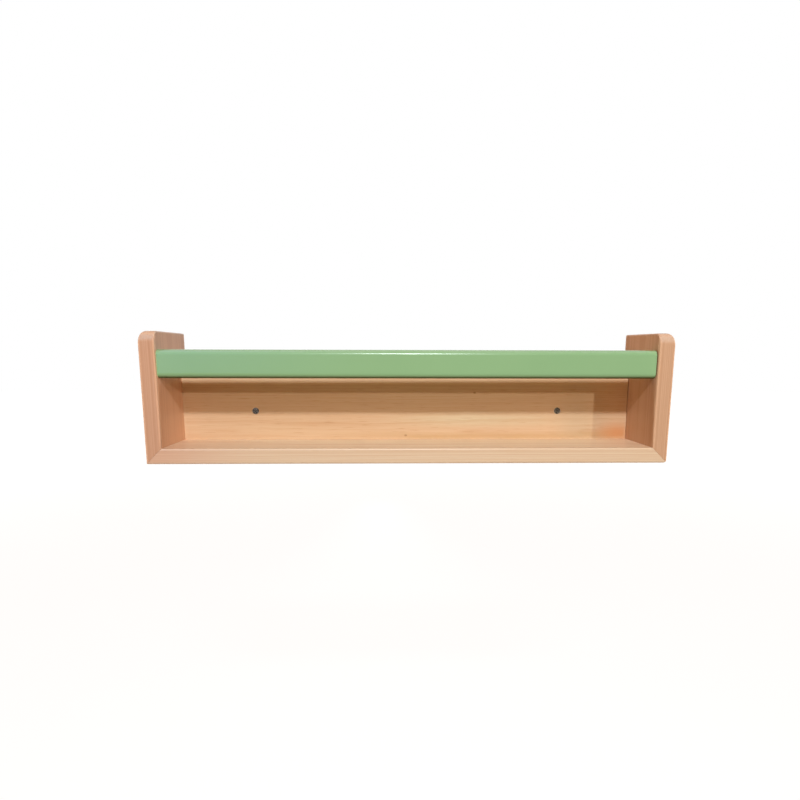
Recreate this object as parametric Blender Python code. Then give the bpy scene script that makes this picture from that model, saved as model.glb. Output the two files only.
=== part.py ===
"""Wall-hung bookcase in clear-finished pale wood, with a green rail that keeps the books in.

Two side boards are mitred to a bottom shelf. A back panel stands on the shelf between the sides,
and a painted rail runs across the front near the top. Hidden dowels hold the joints, and two
countersunk screws through the back panel fix the bookcase to a wall.

Units are metres, +Z is up and the front looks along -Y. The origin lies on the wall face, midway
between the two screws.
"""

import math

import bmesh
import bpy
from mathutils import Vector

# Overall size
WIDTH = 0.600
HEIGHT = 0.150
DEPTH = 0.100

# Boards
SIDE_THICKNESS = 0.018
SHELF_THICKNESS = 0.018
BACK_THICKNESS = 0.018
BACK_HEIGHT = 0.080
RAIL_THICKNESS = 0.018
RAIL_HEIGHT = 0.032
RAIL_DROP = 0.021           # top of the sides down to the top of the rail
RAIL_SETBACK = 0.004        # front of the sides back to the face of the rail

# Rounded edges
CORNER_RADIUS = 0.013       # front top corner of a side, seen from its flank
TOP_OUTER_RADIUS = 0.007    # along the top of a side, on its outer edge
FRONT_OUTER_RADIUS = 0.003
INNER_RADIUS = 0.002        # front and top edges that face the books
BACK_TOP_RADIUS = 0.003
RAIL_FRONT_RADIUS = 0.006
RAIL_BACK_RADIUS = 0.006
RAIL_END_RADIUS = 0.0015
ROUNDING_LIMIT = 0.9        # share of the room beside an edge that its rounding may take

# Wall screws
SCREW_HEIGHT = 0.054        # above the underside of the shelf
SCREW_INSET = 0.090         # from the inner face of the nearer side
SCREW_LENGTH = 0.045
SCREW_DIAMETER = 0.004
SCREW_TIP = 0.006
HEAD_DIAMETER = 0.008
HEAD_RIM = 0.0004
HEAD_SINK = 0.0005          # head below the face of the back panel
RECESS_SPAN = 0.0046
RECESS_SLOT = 0.0011
RECESS_DEPTH = 0.0016

# Dowels
DOWEL_DIAMETER = 0.006
DOWEL_CHAMFER = 0.001
DOWEL_SKIN = 0.006          # wood left between a dowel in a board's face and its far face
DOWEL_END_DEPTH = 0.018     # into the end or the edge of a board
MITRE_DOWEL_INSET = 0.0095  # from the inner corner, along the mitre
MITRE_DOWEL_SKIN = 0.003
MITRE_DOWEL_EDGE = 0.025    # from the front and from the wall
RAIL_DOWEL_SPREAD = 0.012
BACK_DOWEL_EDGE = 0.020     # from the top and from the foot of the back panel
SHELF_DOWEL_INSET = 0.060   # from the ends of the back panel

# Clearances
JOINT_GAP = 0.0003          # between boards that meet
RAIL_END_GAP = 0.0005
DOWEL_CLEARANCE = 0.0002
DOWEL_END_CLEARANCE = 0.0005
SCREW_CLEARANCE = 0.0003

# Smoothness of round shapes
EDGE_STEPS = 4
CORNER_STEPS = 7
TURNED_STEPS = 16
SHARP_ANGLE = math.radians(35)

# Colours and finishes
SIDE_WOOD = {"colour": (0.63, 0.38, 0.21), "roughness": 0.45, "metallic": 0.0}
SHELF_WOOD = {"colour": (0.67, 0.42, 0.24), "roughness": 0.45, "metallic": 0.0}
BACK_WOOD = {"colour": (0.68, 0.42, 0.22), "roughness": 0.45, "metallic": 0.0}
GREEN_PAINT = {"colour": (0.27, 0.45, 0.24), "roughness": 0.25, "metallic": 0.0}
DARK_STEEL = {"colour": (0.12, 0.11, 0.10), "roughness": 0.40, "metallic": 1.0}
DOWEL_BEECH = {"colour": (0.60, 0.42, 0.26), "roughness": 0.60, "metallic": 0.0}

# Places worked out from the sizes, with z measured from the underside of the shelf
QUARTER_TURN = math.pi / 2
INNER_HALF = WIDTH / 2 - SIDE_THICKNESS
BACK_FACE = -BACK_THICKNESS
BACK_FOOT = SHELF_THICKNESS + JOINT_GAP
BACK_TOP = SHELF_THICKNESS + BACK_HEIGHT
BACK_HALF = INNER_HALF - JOINT_GAP
RAIL_TOP = HEIGHT - RAIL_DROP
RAIL_BOTTOM = RAIL_TOP - RAIL_HEIGHT
RAIL_FACE = -DEPTH + RAIL_SETBACK
RAIL_HALF = INNER_HALF - RAIL_END_GAP
MITRE_LENGTH = math.hypot(SIDE_THICKNESS, SHELF_THICKNESS)


def clear_scene():
    for item in list(bpy.data.objects):
        bpy.data.objects.remove(item, do_unlink=True)


def finish(name, colour, roughness, metallic):
    """A Principled material with the given look."""
    material = bpy.data.materials.new(name)
    material.use_nodes = True
    shader = material.node_tree.nodes["Principled BSDF"]
    shader.inputs["Base Color"].default_value = (*colour, 1.0)
    shader.inputs["Roughness"].default_value = roughness
    shader.inputs["Metallic"].default_value = metallic
    return material


def add_object(name, shape):
    """A bmesh as a named object whose faces point out and whose round stretches are smooth."""
    bmesh.ops.recalc_face_normals(shape, faces=shape.faces)
    mesh = bpy.data.meshes.new(name)
    shape.to_mesh(mesh)
    shape.free()
    mesh.shade_smooth()
    mesh.set_sharp_from_angle(angle=SHARP_ANGLE)
    item = bpy.data.objects.new(name, mesh)
    bpy.context.scene.collection.objects.link(item)
    return item


def add_piece(name, shape, material):
    piece = add_object(name, shape)
    piece.data.materials.append(material)
    return piece


def add_cutter(name, shape):
    cutter = add_object(name, shape)
    cutter.hide_render = True
    cutter.display_type = 'WIRE'
    return cutter


def cut(piece, cutter):
    """Take the cutter's shape out of a piece."""
    hole = piece.modifiers.new(cutter.name, 'BOOLEAN')
    hole.operation = 'DIFFERENCE'
    hole.solver = 'EXACT'
    hole.object = cutter


def quarter_arc(steps):
    """Angles from 0 to a quarter turn."""
    return [QUARTER_TURN * step / steps for step in range(steps + 1)]


def rounded_profile(front, back, foot, top, radii):
    """A rectangle in the YZ plane with each corner rounded by its own radius, or sharp for 0.

    The radii are for the corners in turn: front foot, back foot, back top, front top.
    """
    limit = ROUNDING_LIMIT * min(back - front, top - foot) / 2
    corners = ((front, foot, 1, 1), (back, foot, -1, 1), (back, top, -1, -1), (front, top, 1, -1))
    points = []
    for quarter, (y, z, inward_y, inward_z) in enumerate(corners):
        radius = min(radii[quarter], limit)
        if radius == 0:
            points.append((y, z))
            continue
        for angle in quarter_arc(EDGE_STEPS):
            turn = math.pi + QUARTER_TURN * quarter + angle
            points.append((
                y + radius * (inward_y + math.cos(turn)),
                z + radius * (inward_z + math.sin(turn)),
            ))
    return points


def skinned(near, far):
    """A closed solid between two matching loops of points."""
    shape = bmesh.new()
    near_loop = [shape.verts.new(point) for point in near]
    far_loop = [shape.verts.new(point) for point in far]
    shape.faces.new(near_loop)
    shape.faces.new(far_loop[::-1])
    for index, corner in enumerate(near_loop):
        before = index - 1
        shape.faces.new((near_loop[before], corner, far_loop[index], far_loop[before]))
    return shape


def board_along_x(profile, half_length):
    """Run a YZ profile from end to end; half_length gives the distance of the ends at each height."""
    left = [(-half_length(z), y, z) for y, z in profile]
    right = [(half_length(z), y, z) for y, z in profile]
    return skinned(left, right)


def edge_section(outer_radius):
    """Across the rounded edge of a side: distance from its outer face, and depth below the edge."""
    section = []
    for angle in quarter_arc(EDGE_STEPS):
        section.append((outer_radius * (1 - math.cos(angle)), outer_radius * (1 - math.sin(angle))))
    for angle in reversed(quarter_arc(EDGE_STEPS)):
        across = SIDE_THICKNESS - INNER_RADIUS * (1 - math.cos(angle))
        section.append((across, INNER_RADIUS * (1 - math.sin(angle))))
    return section


def side_lift():
    """How far a side's mitre is raised, so that half of the joint gap lies above the mitre line."""
    return JOINT_GAP / 2 * MITRE_LENGTH / SIDE_THICKNESS


def side_edge_rows():
    """Rows of (across, y, z) points: from the mitre up the front, round the corner, back to the wall.

    On its way round the corner the outer rounding grows from the front's radius to the top's.
    """
    room = ROUNDING_LIMIT * min(SIDE_THICKNESS - INNER_RADIUS, CORNER_RADIUS)
    front_radius = min(FRONT_OUTER_RADIUS, room)
    top_radius = min(TOP_OUTER_RADIUS, room)
    slope = SHELF_THICKNESS / SIDE_THICKNESS
    front = edge_section(front_radius)
    rows = [[(across, -DEPTH + depth, side_lift() + across * slope) for across, depth in front]]
    for angle in quarter_arc(CORNER_STEPS):
        grown = angle / QUARTER_TURN
        row = []
        for across, depth in edge_section(front_radius + (top_radius - front_radius) * grown):
            reach = CORNER_RADIUS - depth
            y = -DEPTH + CORNER_RADIUS - reach * math.cos(angle)
            z = HEIGHT - CORNER_RADIUS + reach * math.sin(angle)
            row.append((across, y, z))
        rows.append(row)
    rows.append([(across, 0.0, HEIGHT - depth) for across, depth in edge_section(top_radius)])
    return rows


def side_board(hand):
    """A side board, left for hand -1 and right for hand +1."""
    shape = bmesh.new()

    def vertex(across, y, z):
        return shape.verts.new((hand * (WIDTH / 2 - across), y, z))

    rows = [[vertex(*point) for point in row] for row in side_edge_rows()]
    for low, high in zip(rows, rows[1:]):
        for index in range(len(low) - 1):
            shape.faces.new((low[index], low[index + 1], high[index + 1], high[index]))
    heels = [
        vertex(SIDE_THICKNESS, 0.0, side_lift() + SHELF_THICKNESS),
        vertex(0.0, 0.0, side_lift()),
    ]
    shape.faces.new([row[0] for row in rows] + heels[1:])
    shape.faces.new([row[-1] for row in rows] + heels[:1])
    shape.faces.new(rows[-1] + heels)
    shape.faces.new(rows[0] + heels)
    return shape


def bottom_shelf():
    """The shelf; its ends follow the mitres, half a joint gap short of the mitre lines."""
    radii = (FRONT_OUTER_RADIUS, 0, 0, INNER_RADIUS)
    profile = rounded_profile(-DEPTH, 0.0, 0.0, SHELF_THICKNESS, radii)
    short = JOINT_GAP / 2 * MITRE_LENGTH / SHELF_THICKNESS
    slope = SIDE_THICKNESS / SHELF_THICKNESS
    return board_along_x(profile, lambda z: WIDTH / 2 - z * slope - short)


def back_panel():
    profile = rounded_profile(BACK_FACE, 0.0, BACK_FOOT, BACK_TOP, (0, 0, 0, BACK_TOP_RADIUS))
    return board_along_x(profile, lambda z: BACK_HALF)


def front_rail():
    """The rail, rounded along its four long edges and eased at its ends."""
    back = RAIL_FACE + RAIL_THICKNESS
    radii = (RAIL_FRONT_RADIUS, RAIL_BACK_RADIUS, RAIL_BACK_RADIUS, RAIL_FRONT_RADIUS)
    profile = rounded_profile(RAIL_FACE, back, RAIL_BOTTOM, RAIL_TOP, radii)
    shape = board_along_x(profile, lambda z: RAIL_HALF)
    ends = [face for face in shape.faces if len(face.verts) == len(profile)]
    rims = [edge for face in ends for edge in face.edges]
    bmesh.ops.bevel(
        shape, geom=rims, offset=RAIL_END_RADIUS, offset_type='OFFSET', segments=EDGE_STEPS,
        profile=0.5, affect='EDGES', clamp_overlap=True,
    )
    return shape


def turned(profile):
    """A round solid about local Z; the profile lists (radius, height) from the bottom to the top."""
    shape = bmesh.new()
    rings = []
    for radius, height in profile:
        if radius == 0:
            rings.append([shape.verts.new((0, 0, height))])
            continue
        ring = []
        for step in range(TURNED_STEPS):
            angle = 2 * math.pi * step / TURNED_STEPS
            ring.append(shape.verts.new((radius * math.cos(angle), radius * math.sin(angle), height)))
        rings.append(ring)
    for low, high in zip(rings, rings[1:]):
        for step in range(TURNED_STEPS):
            after = (step + 1) % TURNED_STEPS
            corners = [low[step % len(low)], low[after % len(low)]]
            corners += [high[after % len(high)], high[step % len(high)]]
            shape.faces.new(list(dict.fromkeys(corners)))
    return shape


def screw():
    """A countersunk wood screw, head up, with the top of its head at height 0."""
    head = HEAD_DIAMETER / 2
    shank = SCREW_DIAMETER / 2
    return turned([
        (0, -SCREW_LENGTH),
        (shank, -SCREW_LENGTH + SCREW_TIP),
        (shank, -HEAD_RIM - (head - shank)),
        (head, -HEAD_RIM),
        (head, 0),
        (0, 0),
    ])


def screw_hole():
    """What the screw needs in the back panel: a clearance bore and a countersink."""
    head = HEAD_DIAMETER / 2 + SCREW_CLEARANCE
    bore = SCREW_DIAMETER / 2 + SCREW_CLEARANCE
    below = -BACK_THICKNESS - SCREW_CLEARANCE
    above = HEAD_SINK + SCREW_CLEARANCE
    return turned([
        (0, below),
        (bore, below),
        (bore, -HEAD_RIM - (head - bore)),
        (head, -HEAD_RIM),
        (head, above),
        (0, above),
    ])


def driver_recess():
    """A cross-shaped bar that sinks the driver's recess into a screw head."""
    span = RECESS_SPAN / 2
    slot = RECESS_SLOT / 2
    outline = []
    for x, y in ((1, 1), (-1, 1), (-1, -1), (1, -1)):
        corner = [(x * span, y * slot), (x * slot, y * slot), (x * slot, y * span)]
        outline += corner if x * y > 0 else corner[::-1]
    low = [(x, y, -RECESS_DEPTH) for x, y in outline]
    high = [(x, y, SCREW_CLEARANCE) for x, y in outline]
    return skinned(low, high)


def add_screw(hand, label, back, steel):
    """A wall screw and its hole through the back panel."""
    name = f"wall_screw_{label}"
    piece = add_piece(name, screw(), steel)
    hole = add_cutter(f"{name}_hole", screw_hole())
    recess = add_cutter(f"{name}_recess", driver_recess())
    for item in (piece, hole, recess):
        item.location = (hand * (INNER_HALF - SCREW_INSET), BACK_FACE + HEAD_SINK, SCREW_HEIGHT)
        item.rotation_euler = (QUARTER_TURN, 0, 0)
    cut(piece, recess)
    cut(back, hole)


def dowel(before, after):
    """A dowel about local Z, chamfered at both ends, that reaches either way from a joint."""
    radius = DOWEL_DIAMETER / 2
    return turned([
        (0, -before),
        (radius - DOWEL_CHAMFER, -before),
        (radius, -before + DOWEL_CHAMFER),
        (radius, after - DOWEL_CHAMFER),
        (radius - DOWEL_CHAMFER, after),
        (0, after),
    ])


def dowel_hole(before, after):
    radius = DOWEL_DIAMETER / 2 + DOWEL_CLEARANCE
    foot = -before - DOWEL_END_CLEARANCE
    end = after + DOWEL_END_CLEARANCE
    return turned([(0, foot), (radius, foot), (radius, end), (0, end)])


def add_dowel(name, spot, along, before, after, boards, beech):
    """A dowel through the joint at the spot, and its hole in both boards.

    It reaches the length after in the given direction, and the length before the other way.
    """
    piece = add_piece(name, dowel(before, after), beech)
    hole = add_cutter(f"{name}_hole", dowel_hole(before, after))
    for item in (piece, hole):
        item.location = spot
        item.rotation_euler = Vector(along).to_track_quat('Z', 'Y').to_euler()
    for board in boards:
        cut(board, hole)


def add_mitre_dowels(hand, label, side, shelf, beech):
    """Two dowels square to a mitre, as deep as the skin outside them allows in each board."""
    along_x = SIDE_THICKNESS / MITRE_LENGTH
    along_z = SHELF_THICKNESS / MITRE_LENGTH
    reach = MITRE_LENGTH - MITRE_DOWEL_INSET
    room = reach - DOWEL_DIAMETER / 2
    in_side = room * along_x / along_z - MITRE_DOWEL_SKIN
    in_shelf = room * along_z / along_x - MITRE_DOWEL_SKIN
    x = hand * (WIDTH / 2 - reach * along_x)
    z = reach * along_z
    into_side = (hand * along_z, 0, along_x)
    for end, y in (("front", -DEPTH + MITRE_DOWEL_EDGE), ("rear", -MITRE_DOWEL_EDGE)):
        name = f"mitre_dowel_{label}_{end}"
        add_dowel(name, (x, y, z), into_side, in_shelf, in_side, (side, shelf), beech)


def add_level_dowels(hand, label, side, rail, back, beech):
    """The dowels that run level from a side board into the rail and into the back panel."""
    joint = hand * INNER_HALF
    rail_y = RAIL_FACE + RAIL_THICKNESS / 2
    rail_z = RAIL_TOP - RAIL_HEIGHT / 2
    spots = (
        (f"rail_dowel_{label}_lower", rail, (joint, rail_y, rail_z - RAIL_DOWEL_SPREAD / 2)),
        (f"rail_dowel_{label}_upper", rail, (joint, rail_y, rail_z + RAIL_DOWEL_SPREAD / 2)),
        (f"back_dowel_{label}_lower", back, (joint, BACK_FACE / 2, BACK_FOOT + BACK_DOWEL_EDGE)),
        (f"back_dowel_{label}_upper", back, (joint, BACK_FACE / 2, BACK_TOP - BACK_DOWEL_EDGE)),
    )
    in_side = SIDE_THICKNESS - DOWEL_SKIN
    for name, board, spot in spots:
        add_dowel(name, spot, (hand, 0, 0), DOWEL_END_DEPTH, in_side, (side, board), beech)


def add_shelf_dowels(shelf, back, beech):
    """Three dowels that stand in the shelf and hold the foot of the back panel."""
    end = BACK_HALF - SHELF_DOWEL_INSET
    in_shelf = SHELF_THICKNESS - DOWEL_SKIN
    for label, x in (("left", -end), ("middle", 0.0), ("right", end)):
        spot = (x, BACK_FACE / 2, SHELF_THICKNESS)
        add_dowel(f"shelf_dowel_{label}", spot, (0, 0, 1), in_shelf, DOWEL_END_DEPTH, (shelf, back), beech)


def hang_on_datum():
    """Carry every object on an empty at the underside, so that the screws come to height 0."""
    items = list(bpy.data.objects)
    datum = bpy.data.objects.new("underside_at_wall", None)
    bpy.context.scene.collection.objects.link(datum)
    datum.location = (0, 0, -SCREW_HEIGHT)
    for item in items:
        item.parent = datum


def build():
    clear_scene()
    side_wood = finish("side_wood", **SIDE_WOOD)
    steel = finish("dark_steel", **DARK_STEEL)
    beech = finish("dowel_beech", **DOWEL_BEECH)
    shelf = add_piece("bottom_shelf", bottom_shelf(), finish("shelf_wood", **SHELF_WOOD))
    back = add_piece("back_panel", back_panel(), finish("back_wood", **BACK_WOOD))
    rail = add_piece("front_rail", front_rail(), finish("green_paint", **GREEN_PAINT))
    for hand, label in ((-1, "left"), (1, "right")):
        side = add_piece(f"{label}_side", side_board(hand), side_wood)
        add_mitre_dowels(hand, label, side, shelf, beech)
        add_level_dowels(hand, label, side, rail, back, beech)
        add_screw(hand, label, back, steel)
    add_shelf_dowels(shelf, back, beech)
    hang_on_datum()


build()
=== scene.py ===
# %% [markdown]
# # A wall bookcase with a green rail
#
# The real piece is a low open box for a wall. Two pale wood sides are mitred to a shelf, a back panel
# holds two wall screws, and a gloss green rail across the front keeps the books in. Its solids are
# packed already, so this lesson loads them as a fixed frame and dresses them: finer rounded edges,
# wood whose grain runs the right way in each board, paint, steel, and the light of the photograph.
# Everything is in metres, +Z is up and the front looks along -Y.

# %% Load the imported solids
import math

import bmesh
import bpy
from mathutils import Euler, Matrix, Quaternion, Vector


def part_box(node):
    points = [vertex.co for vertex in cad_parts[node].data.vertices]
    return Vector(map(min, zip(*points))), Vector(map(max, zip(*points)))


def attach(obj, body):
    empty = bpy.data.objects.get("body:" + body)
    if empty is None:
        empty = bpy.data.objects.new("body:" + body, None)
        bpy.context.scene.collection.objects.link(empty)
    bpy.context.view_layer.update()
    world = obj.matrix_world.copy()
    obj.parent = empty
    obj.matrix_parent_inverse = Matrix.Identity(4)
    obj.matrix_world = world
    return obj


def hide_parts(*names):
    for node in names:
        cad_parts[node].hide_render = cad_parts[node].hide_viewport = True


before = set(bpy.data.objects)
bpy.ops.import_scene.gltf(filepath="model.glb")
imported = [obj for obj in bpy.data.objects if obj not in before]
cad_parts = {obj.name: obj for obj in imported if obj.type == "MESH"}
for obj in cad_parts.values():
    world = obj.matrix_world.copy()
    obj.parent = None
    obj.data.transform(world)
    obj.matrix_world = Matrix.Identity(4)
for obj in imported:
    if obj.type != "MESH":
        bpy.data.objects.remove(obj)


def shown(point, digits=4):
    """A point with its numbers rounded for printing."""
    return tuple(round(value, digits) for value in point)


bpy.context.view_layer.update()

# %% [markdown]
# ## Where the boards are
#
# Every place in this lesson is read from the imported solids, not typed in again. If a board moves in
# the solids, its dressed copy moves with it. Only the small roundings, which a box can't tell us,
# are given as values, next to the piece that has them.

# %% Read the boards' places
side_low, side_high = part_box("right_side")
shelf_low, shelf_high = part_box("bottom_shelf")
back_low, back_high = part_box("back_panel")
rail_low, rail_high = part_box("front_rail")

HALF_WIDTH = side_high.x
INNER_HALF = side_low.x
FRONT = side_low.y
WALL = side_high.y
UNDERSIDE = shelf_low.z
SHELF_TOP = shelf_high.z
SIDE_TOP = side_high.z
THICKNESS = HALF_WIDTH - INNER_HALF
print(f"width {2 * HALF_WIDTH:.3f}, depth {WALL - FRONT:.3f}, height {SIDE_TOP - UNDERSIDE:.3f} m")

# %% [markdown]
# ## The camera
#
# The photograph was taken from close by with a phone, a little left of the middle and about level
# with the rail. The corners and edges of the case gave the lens and the place of the camera. The
# picture is cropped, so its optical centre lies below the middle of the frame and a little to the
# right of it, and a small lens shift says so.

# %% Set up the camera
IMAGE_SIDE = 800
FOCAL_PIXELS = 589.6
OPTICAL_CENTRE_RIGHT = 5.2
OPTICAL_CENTRE_DOWN = 63.7
SENSOR = 36
CAMERA_PLACE = (-0.0239, -0.7682, 0.0638)
LOOK_DOWN = math.radians(9.98)
TURN_RIGHT = math.radians(1.61)
LEAN = math.radians(0.11)


def put_in_scene(name, data):
    """An object that shows a camera, a light or a mesh."""
    item = bpy.data.objects.new(name, data)
    bpy.context.scene.collection.objects.link(item)
    return item


camera_lens = bpy.data.cameras.new("photo_camera")
camera_lens.sensor_width = SENSOR
camera_lens.lens = SENSOR * FOCAL_PIXELS / IMAGE_SIDE
camera_lens.shift_x = -OPTICAL_CENTRE_RIGHT / IMAGE_SIDE
camera_lens.shift_y = OPTICAL_CENTRE_DOWN / IMAGE_SIDE
camera = put_in_scene("photo_camera", camera_lens)
camera.location = CAMERA_PLACE
aim = Euler((math.pi / 2 - LOOK_DOWN, 0, -TURN_RIGHT)).to_quaternion()
camera.rotation_euler = (aim @ Quaternion((0, 0, 1), LEAN)).to_euler()
bpy.context.scene.camera = camera
bpy.context.scene.view_settings.view_transform = 'Standard'
print(f"lens {camera_lens.lens:.2f} mm, shift {camera_lens.shift_x:.4f} and {camera_lens.shift_y:.4f}")

# %% [markdown]
# ## Signals and nodes
#
# Materials and Geometry Nodes are both trees of nodes, and most of their nodes are small sums. So
# what comes out of a node is wrapped as a signal, and a plain sign between signals adds the Math
# node. A formula then reads as a formula, and each tree is short enough to read from top to bottom.
# A node goes into the tree of the signals that feed it. The other helpers are short names for nodes
# that come back again and again.

# %% Signals and nodes
def sign(operation):
    """What a plain sign does between a signal and another value."""
    return lambda signal, other: maths(operation, signal, other)


class Signal:
    """What comes out of a node. The signs + - * / on it add Math nodes to its tree."""

    __add__ = sign('ADD')
    __sub__ = sign('SUBTRACT')
    __mul__ = sign('MULTIPLY')
    __truediv__ = sign('DIVIDE')

    def __init__(self, socket):
        self.socket = socket
        self.tree = socket.id_data

    def __rsub__(self, other):
        return maths('SUBTRACT', other, self)

    def __abs__(self):
        return maths('ABSOLUTE', self)


def signals(node):
    """All that comes out of a node, by name."""
    return {socket.name: Signal(socket) for socket in node.outputs}


def feed(node, feeds):
    """Feed a node's inputs, by name or by number, with signals or with plain values."""
    for key, value in feeds.items():
        if isinstance(value, Signal):
            value.tree.links.new(value.socket, node.inputs[key])
        else:
            node.inputs[key].default_value = value


def new_node(tree, kind, feeds, **options):
    """Add a node to a tree, set its options and feed it."""
    node = tree.nodes.new(kind)
    for option, value in options.items():
        setattr(node, option, value)
    feed(node, feeds)
    return node


def add_node(kind, feeds, output=0, **options):
    """Add a node to the tree of the signals that feed it; gives one of its outputs."""
    tree = next(value.tree for value in feeds.values() if isinstance(value, Signal))
    return Signal(new_node(tree, kind, feeds, **options).outputs[output])


def maths(operation, *values):
    """The result of a Math node."""
    return add_node("ShaderNodeMath", dict(enumerate(values)), operation=operation)


def vector_maths(operation, *values, output="Vector"):
    """The vector that a Vector Math node gives, or its single value."""
    return add_node("ShaderNodeVectorMath", dict(enumerate(values)), output, operation=operation)


print("signals know the signs + - * /")

# %% Short names for nodes
def clamped(value):
    """A value held between 0 and 1."""
    return add_node("ShaderNodeClamp", {"Value": value})


def axes(place):
    """The X, Y and Z of a place."""
    return signals(new_node(place.tree, "ShaderNodeSeparateXYZ", {0: place}))


def noise(place, scale, detail):
    """Soft random values round 0.5 that change from place to place."""
    return add_node("ShaderNodeTexNoise", {"Vector": place, "Scale": scale, "Detail": detail})


def noise_along(value, scale, detail):
    """Noise that changes along one value only."""
    feeds = {"W": value, "Scale": scale, "Detail": detail}
    return add_node("ShaderNodeTexNoise", feeds, noise_dimensions='1D')


def eased(value, low, high, out_low=0.0, out_high=1.0):
    """A value carried smoothly from one range to another."""
    feeds = {"Value": value, "From Min": low, "From Max": high, "To Min": out_low, "To Max": out_high}
    return add_node("ShaderNodeMapRange", feeds, interpolation_type='SMOOTHSTEP')


def falling(value, low, high):
    """1 up to the low end of a range, falling smoothly to 0 at its high end."""
    return eased(value, low, high, 1.0, 0.0)


def blend(share, first, second, way='MIX'):
    """Two colours mixed; the colour sockets of a Mix node are its inputs 6 and 7."""
    feeds = {0: share, 6: first, 7: second}
    return add_node("ShaderNodeMix", feeds, 2, data_type='RGBA', blend_type=way)


def tinted(colour, share, tint):
    """A colour multiplied by a tint, as far as the share says."""
    return blend(share, colour, tint, 'MULTIPLY')


print("short names ready")

# %% Groups and materials
def new_group(name, kind, inputs, outputs):
    """A node group with named sockets: its tree, what is given to it, and its output node."""
    tree = bpy.data.node_groups.new(name, kind)
    for way, sockets in (('INPUT', inputs), ('OUTPUT', outputs)):
        for label, socket in sockets.items():
            tree.interface.new_socket(label, in_out=way, socket_type=f"NodeSocket{socket}")
    return tree, signals(tree.nodes.new("NodeGroupInput")), tree.nodes.new("NodeGroupOutput")


def use_group(group, feeds):
    """Use a node group in the tree that its Place comes from; gives what comes out, by name."""
    return signals(new_node(feeds["Place"].tree, "ShaderNodeGroup", feeds, node_tree=group))


def new_material(name):
    """A material, its Principled shader, and the place of each point on the object."""
    material = bpy.data.materials.new(name)
    material.use_nodes = True
    tree = material.node_tree
    place = signals(tree.nodes.new("ShaderNodeTexCoord"))["Object"]
    return material, tree.nodes["Principled BSDF"], place


print("groups and materials ready")

# %% [markdown]
# ## Floor and surroundings
#
# In the photograph the background is plain white. A floor of real white paint would come out grey,
# because it gets less light than the front of the case. So the camera, and whatever mirrors the
# room, sees the surroundings at a strength of 1, which is white, while the light that they give the
# case stays low and warm: a little from all round, more from a lit ceiling on the left, and some
# that comes back off the floor. The gloss paint also mirrors a window with blue sky on the left,
# which only reflections see. The floor lies well below, as under a piece that hangs on a wall. It
# shows a white glow plus a little real shading, for a faint shadow, and the glow grows to full white
# with distance, so no horizon shows.

# %% Make the floor
FLOOR_DROP = 1.0
FLOOR_HALF = 20.0
FLOOR_CORNERS = ((-1, -1), (1, -1), (1, 1), (-1, 1))
FLOOR_PAINT = (0.50, 0.32, 0.18, 1)
FLOOR_SHADING = (0.22, 0.22, 0.22, 1)
FLOOR_ROUGHNESS = 0.9
NEAR_GLOW = 0.93
GLOW_SPAN = (2.5, 7.0)
WHITE = (1, 1, 1, 1)


def seen_directly(tree):
    """1 for what the camera sees, or sees mirrored or through glass, and 0 for plain light."""
    rays = signals(tree.nodes.new("ShaderNodeLightPath"))
    seen = maths('MAXIMUM', rays["Is Camera Ray"], rays["Is Glossy Ray"])
    return maths('MAXIMUM', seen, rays["Is Transmission Ray"])


def make_floor():
    height = UNDERSIDE - FLOOR_DROP
    corners = [(x * FLOOR_HALF, y * FLOOR_HALF, height) for x, y in FLOOR_CORNERS]
    mesh = bpy.data.meshes.new("floor")
    mesh.from_pydata(corners, [], [range(len(corners))])
    material, shader, place = new_material("floor_paint")
    seen = seen_directly(place.tree)
    glow = eased(vector_maths('LENGTH', place, output="Value"), *GLOW_SPAN, NEAR_GLOW, 1.0)
    feed(shader, {
        "Base Color": blend(seen, FLOOR_PAINT, FLOOR_SHADING), "Roughness": FLOOR_ROUGHNESS,
        "Emission Color": WHITE, "Emission Strength": seen * glow, "Specular IOR Level": 0.0,
    })
    mesh.materials.append(material)
    floor = put_in_scene("floor", mesh)
    return floor


print("stage:", make_floor().name, FLOOR_DROP, "m below the case")

# %% Make the white world
LEFT_TINT = (1.50, 0.80, 0.36, 1)
RIGHT_TINT = (0.55, 0.36, 0.22, 1)
CEILING_TINT = (1.18, 0.70, 0.38, 1)
LEVEL_LIGHT = 0.04
CEILING_LIGHT = 0.50
CEILING_FROM = 0.1
CEILING_GLOW = Vector((-0.75, -0.45, 0.75)).normalized()
WINDOW_LIGHT = (0.12, 0.6, 2.0, 1)
WINDOW_SIDE = (-0.36, 0.0)
WINDOW_FRONT = (0.0, 0.3)


def make_world():
    world = bpy.data.worlds.new("white_room")
    world.use_nodes = True
    bpy.context.scene.world = world
    tree = world.node_tree
    seen = seen_directly(tree)
    direction = signals(tree.nodes.new("ShaderNodeTexCoord"))["Generated"]
    upwards = vector_maths('DOT_PRODUCT', direction, CEILING_GLOW, output="Value")
    light = eased(upwards, CEILING_FROM, 1.0, LEVEL_LIGHT, CEILING_LIGHT)
    side, ahead, _ = axes(direction).values()
    tint = blend(eased(side, -1.0, 1.0), LEFT_TINT, RIGHT_TINT)
    tint = blend(eased(upwards, 0.0, 1.0), tint, CEILING_TINT)
    mirrored = signals(tree.nodes.new("ShaderNodeLightPath"))["Is Glossy Ray"]
    window = mirrored * falling(side, *WINDOW_SIDE) * falling(ahead, *WINDOW_FRONT)
    colour = blend(window, blend(seen, tint, WHITE), WINDOW_LIGHT, 'ADD')
    feed(tree.nodes["Background"], {"Color": colour, "Strength": maths('MAXIMUM', seen, light)})
    return world


print("world:", make_world().name)

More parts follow.
